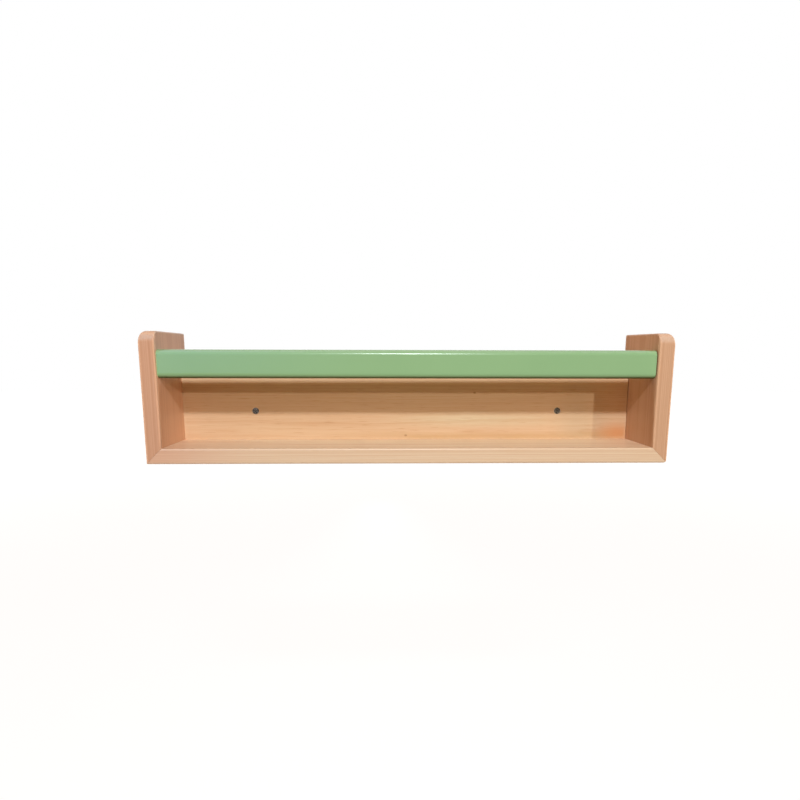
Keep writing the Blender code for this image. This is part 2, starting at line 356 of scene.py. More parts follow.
# %% [markdown]
# ## Two lamps, and three for the other views
#
# The shadows on the back panel show two lights. The main one hangs in front, near the middle and
# well above: the rail throws its soft shadow down to the screws, and its mirror image is the white
# streak on the rail's upper edge. A weaker, smaller one stands low on the right: it reaches under
# the rail and lights most of the panel, up to the shadow of the right side. It leaves no streak in
# the photograph, so reflections don't see it. Area lamps of about the right size give shadows of
# about the right softness. Three faint fill lamps, left, right and behind, are not in the photograph.
# They only light faces that it doesn't show, and neither the camera nor reflections see them.

# %% Hang the lamps
LAMP_TARGET = Vector((0, rail_low.y, rail_low.z))
MAIN_LAMP = {
    "towards": (0.041, -1, 0.63), "distance": 1.60, "size": (0.34, 0.087), "power": 16.4,
    "colour": (0.95, 1.0, 1.07),
}
LOW_LAMP = {
    "towards": (0.61, -1, 0.28), "distance": 4.85, "size": (0.12, 0.12), "power": 53.0,
    "colour": (1.02, 0.95, 0.87),
}
FILL_LAMPS = {
    "left_fill": {"towards": (-1, 0, -0.2), "colour": (0.79, 0.90, 0.94)},
    "right_fill": {"towards": (1, 0, -0.2), "colour": (1.0, 0.96, 0.90)},
    "rear_fill": {"towards": (-0.025, 1, -0.2), "colour": (1.0, 0.96, 0.90)},
}
EVERY_FILL = {"distance": 4.5, "size": (0.3, 0.3), "power": 9.0}
FILL_SPREAD = math.radians(50)


def add_lamp(name, towards, distance, size, power, colour):
    """An area lamp, seen from the rail in the given direction, that faces the rail."""
    light = bpy.data.lights.new(name, 'AREA')
    light.shape = 'RECTANGLE'
    light.size, light.size_y = size
    light.energy = power
    light.color = colour
    lamp = put_in_scene(name, light)
    direction = Vector(towards).normalized()
    lamp.location = LAMP_TARGET + direction * distance
    lamp.rotation_euler = direction.to_track_quat('Z', 'Y').to_euler()
    print(name, "at", shown(lamp.location, 2))
    return lamp


add_lamp("main_lamp", **MAIN_LAMP)
add_lamp("low_lamp", **LOW_LAMP).visible_glossy = False
for name, own_values in FILL_LAMPS.items():
    fill = add_lamp(name, **own_values, **EVERY_FILL)
    fill.data.spread = FILL_SPREAD
    fill.visible_camera = False
    fill.visible_glossy = False

# %% [markdown]
# ## Wood grain as a solid texture
#
# A board is cut out of a trunk, so its grain runs through it: lines on a face carry on round a
# rounded edge, and turn into specks on a cut end. A picture wrapped round the board can't do that.
# A solid texture can. The group below grows year rings round a pith line along X, makes them sway,
# darkens the late wood at the end of each year, and adds long fine fibres and short flecks. Where
# the surface is cut across the grain it turns paler and speckled. Each material then turns and
# shifts its own piece of the trunk with a Mapping node. Sizes inside the group are millimetres, and
# each noise has one size along the grain and one across it.

# %% Year rings
SWAY_SIZE = (260, 38)
STRETCHED_ROUGHNESS = 0.55
UNEVEN_SCALE = 0.33
UNEVEN_YEARS = 2.2
LATE_GROWS = (0.15, 0.80)
LATE_ENDS = (0.84, 1.0)
PALEST_YEAR = 0.3


def drawn_out(place, size, detail):
    """Noise that is stretched along the grain."""
    along, across = size
    stretched = vector_maths('MULTIPLY', place, (1 / along, 1 / across, 1 / across))
    feeds = {"Vector": stretched, "Scale": 1.0, "Detail": detail, "Roughness": STRETCHED_ROUGHNESS}
    return add_node("ShaderNodeTexNoise", feeds)


def late_wood(place, given):
    """How much a point belongs to the dark wood at the end of a year."""
    _, y, z = axes(place).values()
    from_pith = maths('SQRT', y * y + z * z)
    sway = drawn_out(place, SWAY_SIZE, detail=2.0) - 0.5
    years = (sway * given["Sway"] + from_pith) / given["Ring Width"]
    years = noise_along(years, UNEVEN_SCALE, detail=1.0) * UNEVEN_YEARS + years
    season = maths('FRACT', years)
    late = eased(season, *LATE_GROWS) * falling(season, *LATE_ENDS)
    mark = add_node("ShaderNodeTexWhiteNoise", {"W": maths('FLOOR', years)}, noise_dimensions='1D')
    return late * (mark * (1 - PALEST_YEAR) + PALEST_YEAR) * given["Ring Strength"]


print("rings sway over", SWAY_SIZE, "mm along and across the grain")

# %% Build the grain group
TO_MILLIMETRES = (1000.0, 1000.0, 1000.0)
FIBRE_SIZE = (90, 1.5)
HAIR_SIZE = (24, 0.35)
HAIR_SHARE = 0.6
DRIFT_SIZE = (210, 16)
PLAIN_DEPTH = 0.25
FLECK_SIZE = (22, 1.0)
FLECKS_SHOW = (0.58, 0.78)
FLECK_HOLLOW = 0.6
SPECK_SIZE = (6, 1.3)
SPECKS_SHOW = (0.35, 0.65)
SPECK_SHARE = 0.55


def build_grain():
    amounts = ("Ring Width", "Ring Strength", "Sway", "Fibre Strength", "Fleck Strength", "Drift")
    woods = ("Early Wood", "Late Wood", "End Wood")
    tree, given, result = new_group("straight_grain", "ShaderNodeTree", {
        "Place": "Vector", **dict.fromkeys(amounts, "Float"), "End Grain": "Float",
        **dict.fromkeys(woods, "Color"),
    }, {"Colour": "Color", "Relief": "Float"})
    place = vector_maths('MULTIPLY', given["Place"], TO_MILLIMETRES)
    hair = drawn_out(place, HAIR_SIZE, detail=2.0) - 0.5
    fibre = hair * HAIR_SHARE + (drawn_out(place, FIBRE_SIZE, detail=3.0) - 0.5)
    drift = drawn_out(place, DRIFT_SIZE, detail=1.0) - 0.5
    depth = fibre * given["Fibre Strength"] + late_wood(place, given) + drift * given["Drift"]
    colour = blend(clamped(depth + PLAIN_DEPTH), given["Early Wood"], given["Late Wood"])
    flecks = eased(drawn_out(place, FLECK_SIZE, detail=1.0), *FLECKS_SHOW)
    colour = tinted(colour, flecks * given["Fleck Strength"], given["Late Wood"])
    specks = eased(drawn_out(place, SPECK_SIZE, detail=3.0), *SPECKS_SHOW)
    cut_end = blend(specks * SPECK_SHARE, given["End Wood"], colour)
    feed(result, {
        "Colour": blend(given["End Grain"], colour, cut_end),
        "Relief": fibre - flecks * FLECK_HOLLOW,
    })
    return tree


straight_grain = build_grain()
print("group:", straight_grain.name, len(straight_grain.nodes), "nodes")

# %% [markdown]
# ## Rubbed edges and handled faces
#
# Two more effects belong to several finishes, so they are groups too. Along an edge, sanding thins
# the lacquer or the paint, and hands polish it. A point lies near an edge of a board when it is
# close to two of the board's faces at once, so the middle one of its three distances to the faces
# tells how near. That needs no extra geometry and stays the same in every view. Handling leaves
# broad, soft patches that shine a little more or less.

# %% Build the edge and handling groups
BROKEN_SCALE = 160.0
BROAD_SCALE = 22.0
FINE_SCALE = 420.0
FINE_SHARE = 0.4
PATCH_MIDDLE = 0.7


def build_near_edge():
    tree, given, result = new_group("near_an_edge", "ShaderNodeTree", {
        "Place": "Vector", "Centre": "Vector", "Half Size": "Vector", "Reach": "Float",
    }, {"Mask": "Float"})
    offset = vector_maths('SUBTRACT', given["Place"], given["Centre"])
    inside = vector_maths('SUBTRACT', given["Half Size"], vector_maths('ABSOLUTE', offset))
    x, y, z = axes(inside).values()
    farther = maths('MINIMUM', maths('MAXIMUM', x, y), z)
    middle = maths('MAXIMUM', maths('MINIMUM', x, y), farther)
    reach = given["Reach"] * (noise(given["Place"], BROKEN_SCALE, detail=3.0) + 0.5)
    feed(result, {"Mask": falling(middle, 0.0, reach)})
    return tree


def build_handled():
    tree, given, result = new_group("handled_sheen", "ShaderNodeTree", {
        "Place": "Vector", "Roughness": "Float", "Change": "Float",
    }, {"Roughness": "Float"})
    fine = noise(given["Place"], FINE_SCALE, detail=2.0)
    patches = fine * FINE_SHARE + noise(given["Place"], BROAD_SCALE, detail=4.0)
    change = (patches - PATCH_MIDDLE) * given["Change"]
    feed(result, {"Roughness": clamped(change + given["Roughness"])})
    return tree


near_an_edge = build_near_edge()
handled_sheen = build_handled()


def along_edges(place, low, high, reach):
    """1 on the edges of the board between two corners, gone within about the reach."""
    feeds = {"Place": place, "Centre": (low + high) / 2, "Half Size": (high - low) / 2, "Reach": reach}
    return use_group(near_an_edge, feeds)["Mask"]


def handled(place, roughness, change):
    """A roughness that handling has made patchy."""
    feeds = {"Place": place, "Roughness": roughness, "Change": change}
    return use_group(handled_sheen, feeds)["Roughness"]


print("groups:", near_an_edge.name, "and", handled_sheen.name)

# %% [markdown]
# ## Lacquered boards
#
# The case is clear-lacquered softwood. One function makes the finish of a board. It is given the way
# the grain runs, how far off the pith of the trunk lies, the lacquer, and the wood's colours. The
# lacquer is a thin clear coat. It is polished on the shelf, worn dull on the panel and the right
# side, and satin on the left side, whose inner face mirrors the room, so a mask gives the coat to
# that face alone. How squarely a surface cuts the grain is stored on each board's mesh as an
# attribute, end_grain, which the finish reads.

# %% Finish for a board
ALONG_X = (0, 0, 0)
UPRIGHT = (0, math.pi / 2, 0)
SATIN = {"Specular IOR Level": 0.05, "Coat Weight": 0.60, "Coat Roughness": 0.38}
DULL = {"Specular IOR Level": 0.05, "Coat Weight": 0.02, "Coat Roughness": 0.25}
POLISHED = {"Specular IOR Level": 0.30, "Coat Weight": 0.45, "Coat Roughness": 0.30}
END_GRAIN_SHOWS = (0.05, 0.45)
RUB_REACH = 0.0035
RUB_SHARE = 0.35
RUB_POLISH = -0.06
BOARD_SHEEN = {"roughness": 0.42, "change": 0.16}
GRAIN_BUMP = {"Strength": 0.10, "Distance": 0.0002}


def srgb(red, green, blue):
    """A colour as seen on the screen, from 0 to 255, as the linear values that shaders use."""
    channels = [value / 255 for value in (red, green, blue)]
    return (*[v / 12.92 if v <= 0.04045 else ((v + 0.055) / 1.055) ** 2.4 for v in channels], 1)


def lacquered_board(name, corners, turn, pith, lacquer, wood, marks, coated=None):
    """Clear-lacquered wood for the board between two corners; marks adds what only this board has."""
    material, shader, place = new_material(name)
    trunk = add_node("ShaderNodeMapping", {"Vector": place, "Location": pith, "Rotation": turn})
    attribute = new_node(place.tree, "ShaderNodeAttribute", {}, attribute_name="end_grain")
    cut_across = eased(signals(attribute)["Fac"], *END_GRAIN_SHOWS)
    grain = use_group(straight_grain, {"Place": trunk, "End Grain": cut_across, **wood})
    edge = along_edges(place, *corners, RUB_REACH)
    colour = marks(place, grain["Colour"])
    feed(shader, {
        "Base Color": blend(edge * RUB_SHARE, colour, wood["Early Wood"], 'LIGHTEN'),
        "Roughness": edge * RUB_POLISH + handled(place, **BOARD_SHEEN),
        "Normal": add_node("ShaderNodeBump", {"Height": grain["Relief"], **GRAIN_BUMP}), **lacquer,
    })
    if coated:
        feed(shader, {"Coat Weight": coated(place) * lacquer["Coat Weight"]})
    return material


print("coat weights:", [lacquer["Coat Weight"] for lacquer in (SATIN, DULL, POLISHED)])

# %% [markdown]
# ## Marks that only one board has
#
# On the real case the narrow front edges of the sides and the shelf are darker than their wide
# faces, because cut edges soak up more finish. The shelf is browner towards its left end, most of
# all on its front edge. Other marks are painted light and shade: the right side is darker below the
# rail, as painted shade; the panel is paler along its top, where light passes over the rail, and in a
# long stretch right of the middle, as painted light; it is darker at its right end as painted corner
# shade, has a golden streak along its foot as painted warm bounce and shade where it meets the
# shelf, and an amber patch at the right end as painted orange bounce light. It also has two pin
# knots. Such marks are placed on the board in metres, so they stay on it in every view, and all of
# them fade out softly.

# %% Marks of the sides and the shelf
EDGE_SOAK = 0.005
SOAKED = {"left": (0.845, 0.91, 1.01, 1), "right": (0.89, 0.94, 0.965, 1)}
# The right side is darkened low down, below the rail: painted shade.
LOW_FACE_SHADE = {"right": (0.82, 0.83, 0.84, 1)}
COAT_STARTS = 0.0015
COAT_FULL = 0.0002
SHELF_SOAKED = (0.836, 0.824, 0.80, 1)
BROWNER = (0.93, 0.77, 0.757, 1)
BROWN_FROM = -0.15
BROWN_ON_TOP = 0.5


def front_edge(place):
    """1 on the narrow front edge of a board and 0 on the rest of it."""
    return falling(axes(place)["Y"], FRONT + EDGE_SOAK / 3, FRONT + EDGE_SOAK)


def side_marks(label):
    """Marks for one side: its front edge, and painted shade on a lower part."""
    def marks(place, colour):
        front = front_edge(place)
        # Painted shade: the right side is darker below the rail, fading out towards its top, but not on its
        # front edge.
        if label in LOW_FACE_SHADE:
            low = falling(axes(place)["Z"], rail_low.z, SIDE_TOP)
            colour = tinted(colour, low * (1.0 - front), LOW_FACE_SHADE[label])
        return tinted(colour, front, SOAKED[label])
    return marks


def inner_face_of_left(place):
    """1 on the inner face of the left side and 0 on the rest of it."""
    return eased(axes(place)["X"], -INNER_HALF - COAT_STARTS, -INNER_HALF - COAT_FULL)


def shelf_marks(place, colour):
    """The shelf's front edge, and its left end, as brown as the side that it meets."""
    front = front_edge(place)
    left = falling(axes(place)["X"], -HALF_WIDTH, BROWN_FROM)
    colour = tinted(colour, left * (front * (1 - BROWN_ON_TOP) + BROWN_ON_TOP), BROWNER)
    return tinted(colour, front, SHELF_SOAKED)


print("front edges soak up finish over", EDGE_SOAK, "m")

# %% Marks of the back panel
# Painted light: the panel's top, where light passes over the rail, is made paler.
PAINTED_TOP_LIGHT = (1.12, 1.13, 1.14, 1)
PAINTED_TOP_SPAN = (0.032, 0.035)
# Painted warm bounce and shade: a golden streak along the panel's foot, where it meets the shelf.
GOLDEN_FOOT_SHADE = srgb(206, 167, 118)
STREAK_HEIGHT = -0.0325
STREAK_REACH = 0.008
STREAK_SPAN = (-0.16, 0.02)
WANDER_SCALE = 11.0
WANDER_HEIGHT = 0.008
PIN_KNOT = {
    "weights": (0.7, 0.3, 1.0), "span": (0.0006, 0.0018), "share": 0.55, "tint": srgb(150, 98, 58),
    "way": 'MIX',
}
SOFT_MARKS = {
    # Painted light: the lit stretch right of the middle is made paler.
    "painted light stretch": {
        "spot": (0.09, 0, -0.011), "weights": (0.09, 0, 1), "span": (0.0, 0.0145), "share": 1.0,
        "tint": (0.99, 1.14, 1.20, 1), "way": 'MULTIPLY',
    },
    # Painted shade: the panel's right corner is made darker.
    "painted corner shade": {
        "spot": (0.222, 0, -0.01), "weights": (1, 0, 0.6), "span": (0.0, 0.045), "share": 1.0,
        "tint": (0.88, 0.93, 0.95, 1), "way": 'MULTIPLY',
    },
    # Painted bounce light: an orange glow at the right end, next to the right side.
    "painted amber bounce": {
        "spot": (0.272, 0, -0.028), "weights": (1, 0, 2.2), "span": (0.0, 0.040), "share": 0.75,
        "tint": srgb(222, 155, 102), "way": 'MIX',
    },
    "low pin knot": {"spot": (-0.0023, back_low.y, -0.0314), **PIN_KNOT},
    "high pin knot": {"spot": (0.0851, back_low.y, 0.0229), **PIN_KNOT},
}


def distance_from(place, spot, weights):
    """How far a point is from a spot, with a weight for each axis."""
    away = vector_maths('MULTIPLY', vector_maths('SUBTRACT', place, spot), weights)
    return vector_maths('LENGTH', away, output="Value")


def panel_marks(place, colour):
    """Painted light along the top, a wandering golden streak of painted warm bounce and shade along the
    foot, and soft marks round their spots.
    """
    x, _, z = axes(place).values()
    # Painted light along the top, where light passes over the rail.
    colour = tinted(colour, eased(z, *PAINTED_TOP_SPAN), PAINTED_TOP_LIGHT)
    # Painted warm bounce and shade: the golden streak along the foot.
    wander = noise_along(x, WANDER_SCALE, detail=2.0)
    off = abs((wander - 0.5) * WANDER_HEIGHT + z - STREAK_HEIGHT)
    streak = falling(off, 0.0, STREAK_REACH) * wander * eased(x, *STREAK_SPAN)
    colour = blend(streak, colour, GOLDEN_FOOT_SHADE)
    for mark in SOFT_MARKS.values():
        away = distance_from(place, mark["spot"], mark["weights"])
        share = eased(away, *mark["span"], mark["share"], 0.0)
        colour = blend(share, colour, mark["tint"], mark["way"])
    return colour


print("panel:", ", ".join(SOFT_MARKS))

# %% [markdown]
# ## The wood of the four boards
#
# The sides are cut upright and look a little browner than the shelf and the panel, the left one
# redder than the right. The shelf is the palest board, with broad soft rings. The panel has narrow,
# weak rings that sway more, and more flecks. The same grain group gives all of them: only its values
# and the place of the pith differ.

# %% Finish the four boards
HANDS = {"left": -1, "right": 1}
SIDE_GRAIN = {
    "Ring Width": 2.9, "Ring Strength": 0.38, "Sway": 4.0, "Fibre Strength": 0.5,
    "Fleck Strength": 0.12, "Drift": 0.12, "End Wood": srgb(231, 199, 173),
}
SIDE_WOODS = {
    "left": {"Early Wood": srgb(238, 189, 151), "Late Wood": srgb(207, 148, 110)},
    "right": {"Early Wood": srgb(231, 189, 153), "Late Wood": srgb(200, 148, 111)},
}
SHELF_WOOD = {
    "Ring Width": 3.8, "Ring Strength": 0.6, "Sway": 5.0, "Fibre Strength": 0.6,
    "Fleck Strength": 0.12, "Drift": 0.4, "Early Wood": srgb(254, 236, 206),
    "Late Wood": srgb(234, 198, 160), "End Wood": srgb(242, 214, 188),
}
PANEL_WOOD = {
    "Ring Width": 2.3, "Ring Strength": 0.2, "Sway": 8.0, "Fibre Strength": 0.55,
    "Fleck Strength": 0.35, "Drift": 0.5, "Early Wood": srgb(229, 198, 161),
    "Late Wood": srgb(206, 158, 115), "End Wood": srgb(242, 214, 188),
}

side_finish = {}
for label, hand in HANDS.items():
    side_finish[label] = lacquered_board(
        f"{label}_side_wood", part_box(f"{label}_side"), turn=UPRIGHT,
        pith=(0.03, 0.05, hand * INNER_HALF + 0.13), lacquer=SATIN if label == "left" else DULL,
        wood={**SIDE_GRAIN, **SIDE_WOODS[label]}, marks=side_marks(label),
        coated=inner_face_of_left if label == "left" else None,
    )
shelf_finish = lacquered_board(
    "shelf_wood", (shelf_low, shelf_high), turn=ALONG_X, pith=(0.4, 0.045, 0.19), lacquer=POLISHED,
    wood=SHELF_WOOD, marks=shelf_marks,
)
back_finish = lacquered_board(
    "back_wood", (back_low, back_high), turn=ALONG_X, pith=(0.9, 0.058, 0.03), lacquer=DULL,
    wood=PANEL_WOOD, marks=panel_marks,
)
print("boards:", [finish.name for finish in (*side_finish.values(), shelf_finish, back_finish)])

# %% [markdown]
# ## Green gloss paint, dark steel and beech
#
# The rail is sprayed with a smooth green gloss: almost even in colour, with an orange peel so faint
# that it only stirs reflections. Its upper edges are paler, partly from rubbed paint and partly as a
# painted highlight, which is kept off the underside. Along the lower edge the gloss fades out to matt,
# and the colour turns dark olive as painted shade under the rail. The screws are dark plated steel
# with paler spots spread over them at random, which are painted glints. The dowels are bare
# beech, with the same grain group at a much finer scale.

# %% Green gloss paint
GREENS = (srgb(138, 184, 131), srgb(145, 190, 137))
# Paler upper edges: partly rubbed paint, partly a painted highlight.
RUBBED_AND_HIGHLIT_GREEN = srgb(184, 207, 184)
RUBBED_REACH = 0.004
RUBBED_AND_HIGHLIT_SHARE = 0.7
ENDS_LEFT_OUT = Vector((0.02, 0, 0))
GLOSS = 0.7
GLOSS_FADE = 0.008
GLOSS_COAT = {"Specular IOR Level": 0.12, "Coat Roughness": 0.21}
GLOSS_SHEEN = {"roughness": 0.20, "change": 0.10}
# Painted shade: dark olive along the lower edge, under the rail.
UNDER_SHADE_COLOUR = srgb(62, 66, 24)
UNDER_SHADE_REACH = 0.004
UNDER_SHADE_SHARE = 0.9
CLOUD_SCALE = 14.0
PEEL_SCALE = 520.0
PEEL_BUMP = {"Strength": 0.0008, "Distance": 0.0001}


def gloss_paint():
    material, shader, place = new_material("green_paint")
    z = axes(place)["Z"]
    gloss = eased(z, rail_low.z, rail_low.z + GLOSS_FADE, 0.0, GLOSS)
    # Painted shade along the lower edge.
    under_shade = eased(z, rail_low.z, rail_low.z + UNDER_SHADE_REACH, UNDER_SHADE_SHARE, 0.0)
    edge = along_edges(place, rail_low - ENDS_LEFT_OUT, rail_high + ENDS_LEFT_OUT, RUBBED_REACH)
    colour = blend(noise(place, CLOUD_SCALE, detail=3.0), *GREENS)
    # Paler upper edges, partly rubbed paint and partly a painted highlight; the gloss keeps it off the
    # shaded underside.
    colour = blend(edge * (gloss * RUBBED_AND_HIGHLIT_SHARE), colour, RUBBED_AND_HIGHLIT_GREEN)
    peel = noise(place, PEEL_SCALE, detail=1.0)
    feed(shader, {
        "Base Color": blend(under_shade, colour, UNDER_SHADE_COLOUR), "Roughness": handled(place, **GLOSS_SHEEN),
        "Normal": add_node("ShaderNodeBump", {"Height": peel, **PEEL_BUMP}),
        "Coat Weight": gloss, **GLOSS_COAT,
    })
    return material


rail_finish = gloss_paint()
print("finish:", rail_finish.name)

# %% Dark steel and bare beech
# The paler steel makes painted glints, spread in random spots.
STEEL_AND_GLINTS = (srgb(60, 50, 37), srgb(146, 131, 112))
GLINT_SCALE = 900.0
GLINT_SHOWS = (0.4, 0.7)
STEEL_SHEEN = {"roughness": 0.38, "change": 0.3}
BEECH_PITH = (0, 0.05, 0.2)
BEECH_SHEEN = {"roughness": 0.6, "change": 0.1}
BEECH = {
    "Ring Width": 1.2, "Ring Strength": 0.4, "Sway": 1.0, "Fibre Strength": 0.8,
    "Fleck Strength": 0.4, "Drift": 0.3, "End Grain": 0.0, "Early Wood": srgb(214, 178, 140),
    "Late Wood": srgb(186, 142, 104), "End Wood": srgb(200, 160, 120),
}


def dark_steel():
    material, shader, place = new_material("dark_steel")
    # Painted glints: random paler spots of steel.
    spots = eased(noise(place, GLINT_SCALE, detail=3.0), *GLINT_SHOWS)
    feed(shader, {
        "Base Color": blend(spots, *STEEL_AND_GLINTS), "Roughness": handled(place, **STEEL_SHEEN),
        "Metallic": 1.0,
    })
    return material


def bare_beech():
    material, shader, place = new_material("dowel_beech")
    trunk = add_node("ShaderNodeMapping", {"Vector": place, "Location": BEECH_PITH})
    grain = use_group(straight_grain, {"Place": trunk, **BEECH})
    feed(shader, {"Base Color": grain["Colour"], "Roughness": handled(place, **BEECH_SHEEN)})
    return material


screw_finish = dark_steel()
dowel_finish = bare_beech()
print("finishes:", screw_finish.name, "and", dowel_finish.name)

# %% [markdown]
# ## From a shape to a finished piece
#
# Boards are made as bmesh shapes. Where a hole or a rounded corner is easier to cut than to build,
# a Boolean does it on throwaway objects. A finished board is one plain mesh with smooth rounded
# edges. Its large flat faces must stay flat to the eye, so a Weighted Normal modifier lets the
# largest face at each corner decide the shading, and the result is then kept as a plain mesh.

# %% Helpers for shapes
SHARP = math.radians(40)
ARRIS = 0.0002
ARRIS_STEPS = 2


def object_from(name, shape):
    """Turn a bmesh into an object, with its faces pointing out."""
    bmesh.ops.recalc_face_normals(shape, faces=shape.faces)
    mesh = bpy.data.meshes.new(name)
    shape.to_mesh(mesh)
    shape.free()
    return put_in_scene(name, mesh)


def plain_mesh(item):
    """The mesh of an object as its modifiers leave it."""
    bpy.context.view_layer.update()
    seen = item.evaluated_get(bpy.context.evaluated_depsgraph_get())
    return bpy.data.meshes.new_from_object(seen)


def combined(shape, tool, operation):
    """A bmesh cut or limited by another one, with an exact Boolean."""
    work = object_from("work", shape)
    helper = object_from("tool", tool)
    step = work.modifiers.new("combine", 'BOOLEAN')
    step.operation = operation
    step.solver = 'EXACT'
    step.object = helper
    mesh = plain_mesh(work)
    result = bmesh.new()
    result.from_mesh(mesh)
    for item in (work, helper):
        old = item.data
        bpy.data.objects.remove(item)
        bpy.data.meshes.remove(old)
    bpy.data.meshes.remove(mesh)
    return result


def round_off(shape, edges, width, steps):
    """Round some edges of a shape with a bevel."""
    bmesh.ops.bevel(
        shape, geom=edges, offset=width, offset_type='OFFSET', segments=steps, profile=0.5,
        affect='EDGES', clamp_overlap=True,
    )
    return shape


def ease_edges(shape, above=-math.inf):
    """Take the sharpness off a shape's sharp edges, apart from those that lie below a height."""
    sharp = [edge for edge in shape.edges if edge.calc_face_angle(0) > SHARP]
    sharp = [edge for edge in sharp if max(vert.co.z for vert in edge.verts) > above]
    return round_off(shape, sharp, ARRIS, ARRIS_STEPS)


print(f"edges sharper than {math.degrees(SHARP):.0f} degrees are eased by {1000 * ARRIS} mm")

# %% Helpers for pieces
def smoothed(mesh):
    """Shade a mesh smooth, apart from its sharp edges."""
    mesh.shade_smooth()
    mesh.set_sharp_from_angle(angle=SHARP)


def mark_end_grain(mesh, grain):
    """Store on each face corner how squarely it looks along the grain."""
    marks = mesh.attributes.new("end_grain", 'FLOAT', 'CORNER')
    for mark, normal in zip(marks.data, mesh.corner_normals):
        mark.value = abs(normal.vector.dot(grain))


def kept_piece(piece, mesh, nodes):
    """Keep a plain mesh as the piece that stands for its solids and rides on the case."""
    piece.modifiers.clear()
    piece.data = mesh
    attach(piece, "root")
    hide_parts(*nodes)
    print(piece.name, len(mesh.polygons), "faces for", len(nodes), "solids")


def finished_piece(name, shape, material, slot, *nodes, grain=None):
    """Make a shape a dressed piece, with its grain along the given direction."""
    piece = object_from(name, shape)
    smoothed(piece.data)
    piece.data.materials.append(material)
    shading = piece.modifiers.new("flat_faces_stay_flat", 'WEIGHTED_NORMAL')
    shading.keep_sharp = True
    mesh = plain_mesh(piece)
    if grain:
        mark_end_grain(mesh, Vector(grain))
    kept_piece(piece, mesh, nodes)


print("piece helpers ready")

# %% [markdown]
# ## Holes for dowels and screws
#
# Each board has the blind holes that its dowels sit in, and the back panel has two countersunk
# bores. They are hidden once the case is together, but a board is not the real board without them.
# The solids of the dowels say where the holes go, so the cutters are turned from the dowels' boxes.

# %% Find the dowels and make the cutters
DOWEL_DIAMETER = 0.006
DOWEL_CHAMFER = 0.001
HOLE_CLEARANCE = 0.0002
HOLE_END_ROOM = 0.0005
TURNED_STEPS = 32


def turned(shape, profile, spot, along):
    """Add a round solid to a shape; the profile lists (radius, height) from the bottom up."""
    turn = Vector(along).to_track_quat('Z', 'Y')
    rings = []
    for radius, height in profile:
        count = TURNED_STEPS if radius else 1
        ring = []
        for step in range(count):
            angle = 2 * math.pi * step / count
            local = Vector((radius * math.cos(angle), radius * math.sin(angle), height))
            ring.append(shape.verts.new(Vector(spot) + turn @ local))
        rings.append(ring)
    for low, high in zip(rings, rings[1:]):
        for step in range(TURNED_STEPS):
            after = (step + 1) % TURNED_STEPS
            corners = [low[step % len(low)], low[after % len(low)]]
            corners += [high[after % len(high)], high[step % len(high)]]
            # A ring with no radius is one point, so a corner that comes twice is dropped.
            shape.faces.new(list(dict.fromkeys(corners)))


def read_dowel(name):
    """Middle, direction and length of a dowel, from the box of its solid."""
    low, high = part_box(name)
    size = high - low
    if name.startswith("mitre"):
        hand = -1 if "left" in name else 1
        along = Vector((hand, 0, 1)).normalized()
        length = size.x * math.sqrt(2) - (DOWEL_DIAMETER - 2 * DOWEL_CHAMFER)
    else:
        along = Vector((1, 0, 0)) if size.x > size.z else Vector((0, 0, 1))
        length = max(size)
    return (low + high) / 2, along, length


dowels = {name: read_dowel(name) for name in sorted(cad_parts) if "_dowel_" in name}


def dowel_holes(*kinds):
    """One cutter with the holes of every dowel whose name holds one of the given words."""
    cutter = bmesh.new()
    radius = DOWEL_DIAMETER / 2 + HOLE_CLEARANCE
    for name, (spot, along, length) in dowels.items():
        if any(kind in name for kind in kinds):
            end = length / 2 + HOLE_END_ROOM
            turned(cutter, [(0, -end), (radius, -end), (radius, end), (0, end)], spot, along)
    return cutter


for name, (spot, along, length) in dowels.items():
    print(f"{name}: {1000 * length:.1f} mm long at", shown(spot))

# %% [markdown]
# ## The two sides
#
# Each side is an 18 mm board with upright grain. Its edge is rounded: 3 mm outside and 2 mm inside
# along the front, 7 mm outside along the top, and the front top corner is a quarter circle. The top
# falls by a millimetre or two to the front, as the photograph shows. One rounded section is swept up
# the front, round the corner and back to the wall, and its outer rounding grows on the way. A Bevel
# could not change its radius along an edge like that. The foot is cut to 45 degrees for the mitre,
# and a Boolean with a rounded block then eases the outer corner together with the shelf, more on the
# right than on the left.

# %% The section of a side's edge
TOP_OUTER_RADIUS = 0.007
FRONT_OUTER_RADIUS = 0.003
INNER_RADIUS = 0.002
CORNER_RADIUS = 0.013
MITRE_GAP = 0.0001
MITRE_SHIFT = MITRE_GAP / math.sqrt(2)
EDGE_STEPS = 10
CORNER_STEPS = 18
QUARTER = math.pi / 2


def quarter_arc(steps):
    """Angles from 0 to a quarter turn."""
    return [QUARTER * step / steps for step in range(steps + 1)]


def rounding(radius):
    """A rounded corner: how far each point lies inside the two faces that meet there."""
    return [(radius * (1 - math.cos(a)), radius * (1 - math.sin(a))) for a in quarter_arc(EDGE_STEPS)]


def edge_section(outer_radius):
    """Across the edge of a side: distance from the outer face, and depth below the edge."""
    inner = [(THICKNESS - across, depth) for across, depth in rounding(INNER_RADIUS)]
    return rounding(outer_radius) + inner[::-1]


